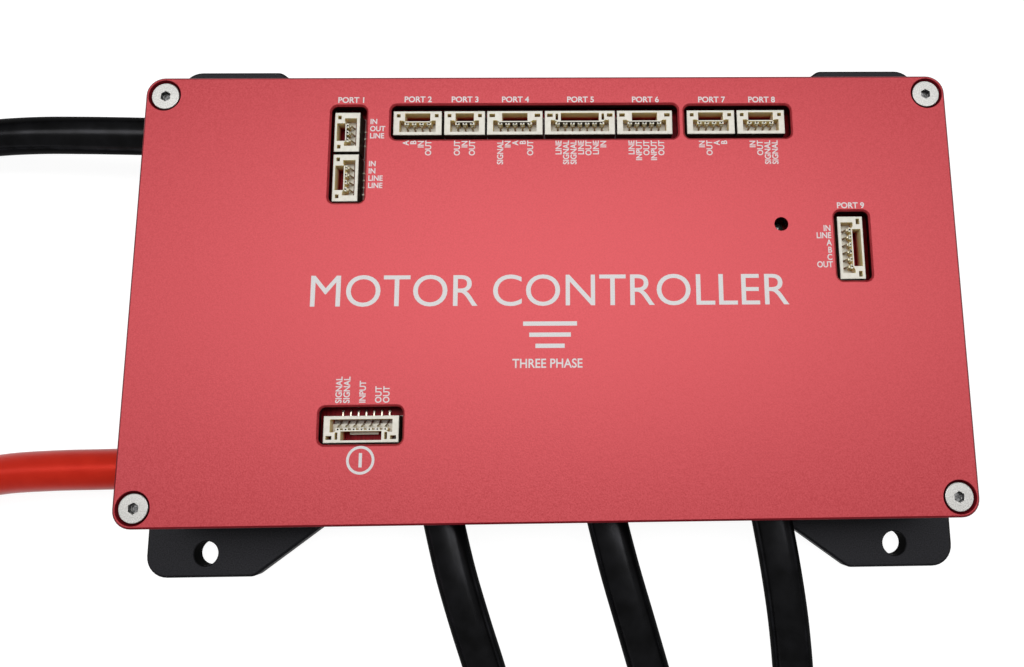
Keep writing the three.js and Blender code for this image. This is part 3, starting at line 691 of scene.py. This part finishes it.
def on_shaded_cover_edge(middle, normal):
    """1 on the cover's chamfered rim, its countersinks and the walls of its cut-outs, which get painted
    shade, 0 elsewhere.
    """
    if abs(normal.z) > 0.995:
        return 0
    rim = 1.5 * MM
    corner = 8 * MM
    inset_x = min(middle.x - COVER_LOW.x, COVER_HIGH.x - middle.x)
    inset_y = min(middle.y - COVER_LOW.y, COVER_HIGH.y - middle.y)
    sloping = normal.z > 0.2
    if min(inset_x, inset_y) < rim:
        return int(sloping)
    return int(max(inset_x, inset_y) < corner or not sloping)


def in_shaded_socket(centre):
    """Picks the walls and the floor of the hexagon socket of the screw round centre, which get painted
    shade.
    """
    wall_reach = 0.95 * MM
    floor_reach = 0.095 * MM
    socket_top = SCREW_HEAD_TOP - 0.1 * MM

    def pick(middle, normal):
        reach = wall_reach if abs(normal.z) < 0.9 else floor_reach
        return int(middle.z < socket_top and (middle - centre).to_2d().length < reach)

    return pick


def shaded_ear_hole_walls(middle, normal):
    """1 on the walls of the four bolt holes in the base's ears, which get painted shade, 0 elsewhere."""
    rim = 1.5 * MM
    ear_width, ear_depth = 15 * MM, 8.5 * MM
    inset_x = min(middle.x - BASE_LOW.x, BASE_HIGH.x - middle.x)
    inset_y = min(middle.y - BASE_LOW.y, BASE_HIGH.y - middle.y)
    return int(abs(normal.z) < 0.5 and rim < inset_x < ear_width and rim < inset_y < ear_depth)


# The cover's rim, countersinks and cut-out walls get a finish with painted shade.
refined("top_cover", 0.08 * MM, others=(cover_edge_painted_shade(),), pick=on_shaded_cover_edge)
# The walls of the ears' holes get a finish with painted shade.
refined("base_housing", 0.25 * MM, segments=3, others=(bore_painted_shade(),), pick=shaded_ear_hole_walls)
# The hexagon sockets get a finish with painted shade.
SOCKET_SHADE = socket_painted_shade()
for corner in CORNERS:
    screw_low, screw_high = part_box(f"cover_screw_{corner}")
    refined(
        f"cover_screw_{corner}", 0.06 * MM,
        others=(SOCKET_SHADE,), pick=in_shaded_socket((screw_low + screw_high) / 2),
    )
    refined(f"standoff_{corner}", 0.15 * MM)
    refined(f"board_screw_{corner}", 0.08 * MM)
for lead_name in LEADS:
    refined(f"grommet_{lead_name}", 0.3 * MM, segments=3)
    refined(f"terminal_{lead_name}", 0.2 * MM)

# Header finishes with painted shade, and inside a painted red reflection of the board.
HEADER_INSIDE_PAINTED_LIGHT = header_inside_painted_light()
HEADER_SHADE = header_shade()


def header_frame(name):
    """The place and turn of a header: origin on the board, latch side towards +Y."""
    low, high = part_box(f"header_{name}")
    middle = (low + high) / 2
    turn, _ = HEADERS[name]
    return Matrix.Translation((middle.x, middle.y, low.z)) @ Matrix.Rotation(math.radians(turn), 4, "Z")


def contact_places(name):
    """Each contact's distance from the middle of the header, with its word."""
    _, words = HEADERS[name]
    return [((i - (len(words) - 1) / 2) * HEADER_PITCH, word) for i, word in enumerate(words)]


def header_faces(name):
    """Picks the upright faces inside a header as 1, its contact holes and outer sides as 2; both get
    painted shade.
    """
    low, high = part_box(f"header_{name}")
    to_header = header_frame(name).inverted()
    skin = 0.15 * MM
    half_hole = 0.14 * MM
    hole_span = (HEADER_HEIGHT - 1.7 * MM, HEADER_HEIGHT - 0.5 * MM)

    def pick(middle, normal):
        local = to_header @ middle
        in_line = any(abs(local.x - x) < half_hole for x, _ in contact_places(name))
        if in_line and abs(local.y) < half_hole and hole_span[0] < local.z < hole_span[1]:
            return 2
        if abs(normal.z) > 0.5:
            return 0
        inset = min(middle.x - low.x, high.x - middle.x, middle.y - low.y, high.y - middle.y)
        return 1 if inset > skin else 2

    return pick


for header in HEADERS:
    refined(f"header_{header}", 0.04 * MM, others=(HEADER_INSIDE_PAINTED_LIGHT, HEADER_SHADE), pick=header_faces(header))
for phase in "abc":
    for side_name in ("high_side", "low_side"):
        refined(f"transistor_{phase}_{side_name}", 0.08 * MM)
for number in range(1, 5):
    refined(f"capacitor_{number}", 0.12 * MM)
refined("logic_board", 0.06 * MM)
refined("power_board", 0.06 * MM)
refined("thermal_pad", 0.15 * MM)
refined("board_link", 0.1 * MM)
refined("indicator_lens", 0.05 * MM)


# ---------------------------------------------------------------- header contacts and board marks

def add_strip(bm, x, half_width, profile, turn):
    """A thin strip of metal: a closed outline of (y, z) points across the width."""
    sides = []
    for edge in (x - half_width, x + half_width):
        sides.append([bm.verts.new(turn @ Vector((edge, y * MM, z * MM))) for y, z in profile])
    bridge(bm, sides)
    bm.faces.new(sides[0][::-1])
    bm.faces.new(sides[1])


# Outline of a contact, in millimetres from the header's middle: from the foot in the gutter,
# up against its tooth, and back down
CONTACT_PROFILE = [
    (-1.5, 0.75), (-1.3, 0.75), (-0.62, 1.9), (-0.42, 3.2), (-0.3, 3.3), (-0.3, 3.42),
    (-0.45, 3.36), (-0.6, 3.2), (-0.82, 2.0),
]


def add_contact(bm, x, turn):
    """One contact: a bent strip in front of its tooth and a solder tail outside the header."""
    add_strip(bm, x, 0.15 * MM, CONTACT_PROFILE, turn)
    tail_length = 0.8 * MM
    half_tail = 0.11 * MM
    outside = -HEADER_DEPTH / 2
    add_box(
        bm,
        (x - half_tail, outside - tail_length, 0.05 * MM),
        (x + half_tail, outside, 0.25 * MM),
        turn,
    )


def add_solder(bm, x, turn):
    """A low mound of solder at the end of one tail."""
    middle = Vector((x, -HEADER_DEPTH / 2 - 0.9 * MM, 0.0))
    matrix = turn @ Matrix.Translation(middle) @ Matrix.Diagonal((0.22 * MM, 0.3 * MM, 0.24 * MM, 1.0))
    made = bmesh.ops.create_uvsphere(bm, u_segments=12, v_segments=8, radius=1.0, matrix=matrix)
    below = [vert for vert in made["verts"] if (turn.inverted() @ vert.co).z < 0]
    for vert in below:
        vert.co.z = LOGIC_BOARD_TOP


def contacts_piece(name):
    turn = header_frame(name)
    bm = bmesh.new()
    for x, _ in contact_places(name):
        add_contact(bm, x, turn)
        add_solder(bm, x, turn)
    middle = turn.translation
    return piece_from(bm, f"contacts_{name}", "tinned_copper", CONTACT_METAL, place=middle)


CONTACT_METAL = contact_metal()
for header in HEADERS:
    contacts_piece(header)


def board_marks():
    """Printed outlines round the headers on the logic board."""
    bm = bmesh.new()
    line, away, thickness = 0.13 * MM, 0.12 * MM, 0.02 * MM
    foot = LOGIC_BOARD_TOP
    for name in HEADERS:
        low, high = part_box(f"header_{name}")
        left, right = low.x - away, high.x + away
        front, back = low.y - away, high.y + away
        for x in (left, right):
            add_box(bm, (x - line / 2, front, foot), (x + line / 2, back, foot + thickness))
        for y in (front, back):
            add_box(bm, (left, y - line / 2, foot), (right, y + line / 2, foot + thickness))
    return piece_from(bm, "board_outlines", "circuit_board", board_ink())


board_marks()


# ---------------------------------------------------------------- etched marks on the cover

ETCH_TOP = COVER_TOP + 0.006 * MM
ETCH_BOTTOM = COVER_TOP - 0.004 * MM
SMALL_CAP = 1.02 * MM
CAP_SHARE = 0.729
LARGE_CAP = 2 * MM
STROKE_GROWTH = 0.03 * MM
ETCH_SKEW = math.radians(-0.22)


class Etching:
    """Collects flat marks on the cover into one mesh."""

    def __init__(self):
        self.bm = bmesh.new()

    def word_mesh(self, text, align, cap):
        """A flat outline of a word with a cap height of one unit, as a mesh."""
        curve = bpy.data.curves.new("word", "FONT")
        curve.body = text
        curve.size = 1 / CAP_SHARE
        curve.align_x = align
        curve.offset = STROKE_GROWTH / cap if cap < LARGE_CAP else 0
        curve.resolution_u = 6
        holder = bpy.data.objects.new("word", curve)
        bpy.context.scene.collection.objects.link(holder)
        bpy.context.view_layer.update()
        evaluated = holder.evaluated_get(bpy.context.evaluated_depsgraph_get())
        mesh = bpy.data.meshes.new_from_object(evaluated)
        bpy.data.objects.remove(holder)
        bpy.data.curves.remove(curve)
        return mesh

    def word(self, text, x, y, cap, turn=0, align="CENTER", widen=1.0):
        """A word on the cover. x, y is the foot of its first, middle or last letter."""
        if not text:
            return
        matrix = (
            Matrix.Translation((x, y, 0))
            @ Matrix.Rotation(math.radians(turn), 4, "Z")
            @ Matrix.Diagonal((cap * widen, cap, 1.0, 1.0))
        )
        before = len(self.bm.verts)
        mesh = self.word_mesh(text, align, cap)
        self.bm.from_mesh(mesh)
        bpy.data.meshes.remove(mesh)
        self.bm.verts.ensure_lookup_table()
        bmesh.ops.transform(self.bm, matrix=matrix, verts=self.bm.verts[before:])

    def outline(self, outer, inner=None):
        """A flat shape between two rings of the same number of points, or one filled ring."""
        outside = [self.bm.verts.new((x, y, 0)) for x, y in outer]
        if inner is None:
            self.bm.faces.new(outside)
            return
        inside = [self.bm.verts.new((x, y, 0)) for x, y in inner]
        for i in range(len(outside)):
            j = (i + 1) % len(outside)
            self.bm.faces.new((outside[i], outside[j], inside[j], inside[i]))

    def bar(self, x, y, width, height):
        half_w, half_h = width / 2, height / 2
        self.outline([
            (x - half_w, y - half_h), (x + half_w, y - half_h),
            (x + half_w, y + half_h), (x - half_w, y + half_h),
        ])

    def ring(self, x, y, radius, line, sides=64):
        angles = [2 * math.pi * i / sides for i in range(sides)]
        rims = [
            [(x + reach * math.cos(a), y + reach * math.sin(a)) for a in angles]
            for reach in (radius, radius - line)
        ]
        self.outline(*rims)

    def piece(self):
        """The marks as one thin closed mesh, let into the cover."""
        bm = self.bm
        for face in bm.faces:
            face.normal_update()
            if face.normal.z < 0:
                face.normal_flip()
        bmesh.ops.rotate(bm, cent=(0, 0, 0), matrix=Matrix.Rotation(ETCH_SKEW, 3, "Z"), verts=bm.verts)
        bmesh.ops.translate(bm, verts=bm.verts, vec=(0, 0, ETCH_TOP))
        made = bmesh.ops.extrude_face_region(bm, geom=bm.faces[:])
        lowered = [item for item in made["geom"] if isinstance(item, bmesh.types.BMVert)]
        for vert in lowered:
            vert.co.z = ETCH_BOTTOM
        return piece_from(bm, "cover_etching", "cover_anodised", etched_metal())


def etch_port_names(etching):
    """A plain port number over each header and a plain word at each contact.

    The rises, shifts and the sensor's spacing were set against the photograph.
    """
    half_cap = SMALL_CAP / 2
    narrow = 0.88
    title_y = 32.2 * MM
    label_y = 25.4 * MM
    aux_title = (-33.3 * MM, title_y - 0.13 * MM)
    aux_label_x, aux_cap, aux_widen, aux_rise = -30.1 * MM, 0.92 * MM, 0.95, 0.26 * MM
    sensor_title_y, sensor_label_x = 13.6 * MM, 46.45 * MM
    sensor_spacing, sensor_rise = 0.98, 0.3 * MM
    switch_label_y, switch_shift = -18.0 * MM, 0.25 * MM
    row = ("power_button", "servo", "can_bus", "serial", "debug", "data", "radio")
    for number, name in enumerate(row, start=2):
        middle = header_frame(name).translation
        etching.word(f"PORT {number}", middle.x, title_y, SMALL_CAP)
        for x, word in contact_places(name):
            etching.word(word, middle.x + x + half_cap, label_y, SMALL_CAP, 90, "RIGHT", narrow)
    etching.word("PORT 1", *aux_title, SMALL_CAP)
    for name in ("aux_upper", "aux_lower"):
        middle = header_frame(name).translation
        for y, word in contact_places(name):
            foot = middle.y - y - half_cap + aux_rise
            etching.word(word, aux_label_x, foot, aux_cap, 0, "LEFT", aux_widen)
    sensor = header_frame("rotor_sensor").translation
    etching.word("PORT 9", sensor.x, sensor_title_y, SMALL_CAP)
    for y, word in contact_places("rotor_sensor"):
        foot = sensor.y - sensor_spacing * y - half_cap + sensor_rise
        etching.word(word, sensor_label_x, foot, SMALL_CAP, 0, "RIGHT", narrow)
    switch = header_frame("ignition").translation
    for x, word in contact_places("ignition"):
        foot = switch.x + x + half_cap + switch_shift
        etching.word(word, foot, switch_label_y, SMALL_CAP, 90, "LEFT", narrow)


def etch_middle(etching):
    """Plain words and bars in the middle of the cover, and a ring under the single header."""
    etching.word("MOTOR CONTROLLER", -0.1 * MM, -2.55 * MM, 5.4 * MM, widen=1.02)
    for i in range(3):
        etching.bar(0, (-5.5 - 1.8 * i) * MM, (8.7 - 2 * i) * MM, 0.7 * MM)
    etching.word("THREE PHASE", -0.4 * MM, -12.6 * MM, 1.5 * MM, widen=0.9)
    ring_middle = (-29.6 * MM, -26.85 * MM)
    etching.ring(*ring_middle, 2.2 * MM, 0.42 * MM)
    etching.bar(*ring_middle, 0.5 * MM, 2.2 * MM)


etching = Etching()
etch_port_names(etching)
etch_middle(etching)
etching.piece()


# ---------------------------------------------------------------- stage

def floor():
    bm = bmesh.new()
    reach = 3.0
    drop = 0.02 * MM
    below = Matrix.Translation((0, 0, -drop))
    bmesh.ops.create_grid(bm, x_segments=1, y_segments=1, size=reach, matrix=below)
    mesh = bpy.data.meshes.new("floor")
    bm.to_mesh(mesh)
    bm.free()
    finish = Finish("floor", (0.2, 0.2, 0.2), 0.9, Emission_Color=(1, 1, 1, 1), Emission_Strength=0.92)
    mesh.materials.append(finish.material)
    plane = bpy.data.objects.new("floor", mesh)
    bpy.context.scene.collection.objects.link(plane)


def softbox(name, place, aim, width, depth, power):
    data = bpy.data.lights.new(name, "AREA")
    data.shape = "RECTANGLE"
    data.size = width
    data.size_y = depth
    data.energy = power
    lamp = bpy.data.objects.new(name, data)
    lamp.location = place
    direction = Vector(aim) - Vector(place)
    lamp.rotation_euler = direction.to_track_quat("-Z", "Y").to_euler()
    bpy.context.scene.collection.objects.link(lamp)


def world(strength):
    made = bpy.data.worlds.new("studio")
    made.use_nodes = True
    background = made.node_tree.nodes["Background"]
    background.inputs["Color"].default_value = (1, 1, 1, 1)
    background.inputs["Strength"].default_value = strength
    bpy.context.scene.world = made


floor()
world(0.3)
softbox("main_light", (-0.02, 0.17, 0.8), (-0.02, 0.17, 0), 0.64, 0.3, 2.7)
softbox("long_light", (-0.1, 0.13, 0.82), (-0.1, 0.13, 0), 2.4, 0.3, 7.2)
bpy.context.scene.view_settings.view_transform = "Standard"
